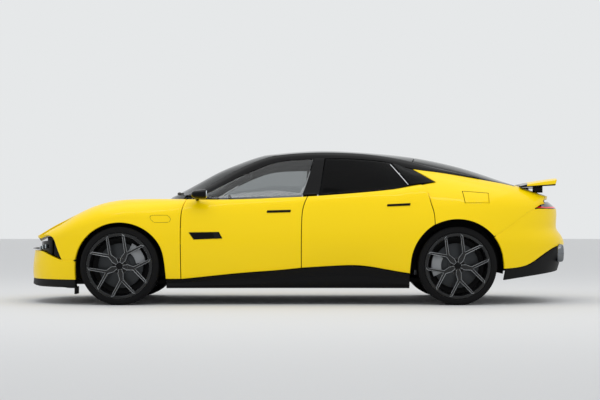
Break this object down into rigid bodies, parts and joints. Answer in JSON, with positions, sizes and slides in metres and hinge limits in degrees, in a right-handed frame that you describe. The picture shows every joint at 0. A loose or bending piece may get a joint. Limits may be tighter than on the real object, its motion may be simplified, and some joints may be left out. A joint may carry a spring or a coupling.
{
  "type": "electric sports sedan",
  "caption": "Low fastback electric sedan with frameless side glass, opening doors, hood and tailgate, raised rear spoiler, steered front wheels and turning wheels.",
  "frame": {"origin": "on the ground under the middle of the overall box", "axes": "front towards -X, left side towards -Y, up +Z"},
  "size_m": [5.1399, 2.1568, 1.4446],
  "materials": {
    "paint": "gloss yellow with clear coat",
    "black_gloss": "gloss black",
    "black_satin": "satin black",
    "tint_glass": "dark tinted",
    "lamp": "dark red lamp cover",
    "headlamp": "clear lamp units",
    "rim_dark": "dark alloy",
    "steel": "brake steel",
    "tyre": "black rubber",
    "metal": "cast alloy",
    "trim": "dark cabin trim"
  },
  "bodies": {
    "body_shell": {"battery_floor": "black_satin", "drive_units": "metal", "suspension": "metal", "rear_knuckles": "metal", "inner_frame": "black_satin", "sills": "black_gloss", "front_bumper": "paint", "front_splitter": "black_gloss", "grille_band": "black_gloss", "headlamps": "headlamp", "fenders": "paint", "arch_liners": "black_satin", "cowl": "black_satin", "windshield": "tint_glass", "side_rails": "black_gloss", "roof": "tint_glass", "quarters": "paint", "charge_tray": "black_satin", "quarter_glass": "tint_glass", "rear_bumper": "paint", "rear_diffuser": "black_gloss", "tail_lamp": "lamp", "dashboard": "trim", "seats": "trim"},
    "wheel_front_left": {"tyre_front_left": "tyre", "rim_front_left": "rim_dark", "disc_front_left": "steel"},
    "door_body_front_left": {"door_front_left": "paint", "glass_front_left": "tint_glass", "mirror_left": "black_gloss"},
    "wheel_front_right": {"tyre_front_right": "tyre", "rim_front_right": "rim_dark", "disc_front_right": "steel"},
    "door_body_front_right": {"door_front_right": "paint", "glass_front_right": "tint_glass", "mirror_right": "black_gloss"},
    "wheel_rear_left": {"tyre_rear_left": "tyre", "rim_rear_left": "rim_dark", "disc_rear_left": "steel"},
    "door_body_rear_left": {"door_rear_left": "paint", "glass_rear_left": "tint_glass"},
    "wheel_rear_right": {"tyre_rear_right": "tyre", "rim_rear_right": "rim_dark", "disc_rear_right": "steel"},
    "door_body_rear_right": {"door_rear_right": "paint", "glass_rear_right": "tint_glass"},
    "steered_left": {"knuckle_left": "metal"},
    "steered_right": {"knuckle_right": "metal"},
    "hood_body": {"hood": "paint"},
    "tailgate_body": {"tailgate": "paint", "rear_window": "tint_glass", "spoiler": "paint"},
    "steering_column": {"steering_wheel": "trim"},
    "flap_body": {"charge_flap": "paint"}
  },
  "joints": [
    {"name": "steer_left", "type": "hinge", "parent": "body_shell", "child": "steered_left", "pos_m": [-1.6245, -0.7795, 0.356], "axis": [0, 0, 1], "range_deg": [-35, 35]},
    {"name": "steer_right", "type": "hinge", "parent": "body_shell", "child": "steered_right", "pos_m": [-1.6245, 0.7795, 0.356], "axis": [0, 0, 1], "range_deg": [-35, 35]},
    {"name": "steering_turn", "type": "hinge", "parent": "body_shell", "child": "steering_column", "pos_m": [-0.5845, -0.36, 0.85], "axis": [0.9063, 0, 0.4226], "range_deg": [-440, 440]},
    {"name": "spin_front_left", "type": "hinge", "parent": "steered_left", "child": "wheel_front_left", "pos_m": [-1.6245, -0.8395, 0.356], "axis": [0, -1, 0], "continuous": true},
    {"name": "spin_front_right", "type": "hinge", "parent": "steered_right", "child": "wheel_front_right", "pos_m": [-1.6245, 0.8395, 0.356], "axis": [0, -1, 0], "continuous": true},
    {"name": "spin_rear_left", "type": "hinge", "parent": "body_shell", "child": "wheel_rear_left", "pos_m": [1.4445, -0.8195, 0.356], "axis": [0, -1, 0], "continuous": true},
    {"name": "spin_rear_right", "type": "hinge", "parent": "body_shell", "child": "wheel_rear_right", "pos_m": [1.4445, 0.8195, 0.356], "axis": [0, -1, 0], "continuous": true},
    {"name": "open_front_left", "type": "hinge", "parent": "body_shell", "child": "door_body_front_left", "pos_m": [-1.068, -0.976, 0.6], "axis": [0, 0, -1], "range_deg": [0, 68]},
    {"name": "open_front_right", "type": "hinge", "parent": "body_shell", "child": "door_body_front_right", "pos_m": [-1.068, 0.976, 0.6], "axis": [0, 0, 1], "range_deg": [0, 68]},
    {"name": "open_rear_left", "type": "hinge", "parent": "body_shell", "child": "door_body_rear_left", "pos_m": [0.0295, -0.954, 0.6], "axis": [0, 0, -1], "range_deg": [0, 66]},
    {"name": "open_rear_right", "type": "hinge", "parent": "body_shell", "child": "door_body_rear_right", "pos_m": [0.0295, 0.954, 0.6], "axis": [0, 0, 1], "range_deg": [0, 66]},
    {"name": "open_hood", "type": "hinge", "parent": "body_shell", "child": "hood_body", "pos_m": [-1.0785, 0, 0.969], "axis": [0, 1, 0], "range_deg": [0, 55]},
    {"name": "open_tailgate", "type": "hinge", "parent": "body_shell", "child": "tailgate_body", "pos_m": [1.0645, 0, 1.392], "axis": [0, -1, 0], "range_deg": [0, 70]},
    {"name": "open_charge_flap", "type": "hinge", "parent": "body_shell", "child": "flap_body", "pos_m": [1.5055, -0.9245, 0.9915], "axis": [0.1379, -0.5433, -0.8282], "range_deg": [0, 80]}
  ],
  "couplings": [
    {"joint": "steer_right", "follows": "steer_left", "ratio": 1},
    {"joint": "steering_turn", "follows": "steer_left", "ratio": 12.5}
  ]
}
